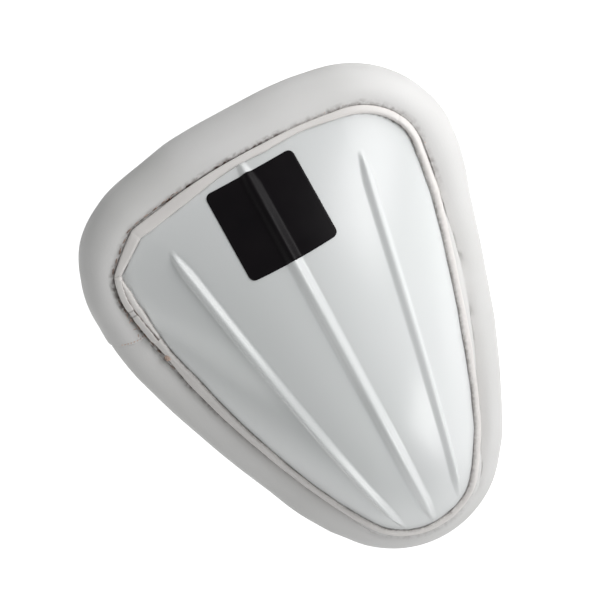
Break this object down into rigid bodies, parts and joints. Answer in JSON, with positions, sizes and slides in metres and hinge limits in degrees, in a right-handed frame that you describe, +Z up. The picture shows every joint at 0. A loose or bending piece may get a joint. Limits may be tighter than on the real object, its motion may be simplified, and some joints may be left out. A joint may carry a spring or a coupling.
{
  "type": "abdominal guard",
  "caption": "Sports abdominal guard: a ribbed moulded plastic cup, open behind, with a padded vinyl roll sewn round its edge, a narrow front hem and a plain black label.",
  "frame": {"origin": "middle of the surface that the guard rests on, under the middle of its box", "axes": "+Z up, out of the dome; +Y towards the wide top edge; +X across, to the right of someone looking down on the dome with the top edge away from them"},
  "size_m": [0.1281, 0.1665, 0.0453],
  "materials": {
    "cup_plastic": "white moulded plastic, satin gloss",
    "roll_vinyl": "soft white vinyl over foam, matt with a fine grain",
    "hem_vinyl": "folded white vinyl strip, matt",
    "label_film": "plain black film, satin"
  },
  "bodies": {
    "root": {"shell": "cup_plastic", "edge_roll": "roll_vinyl", "hem": "hem_vinyl", "label": "label_film"}
  },
  "joints": []
}
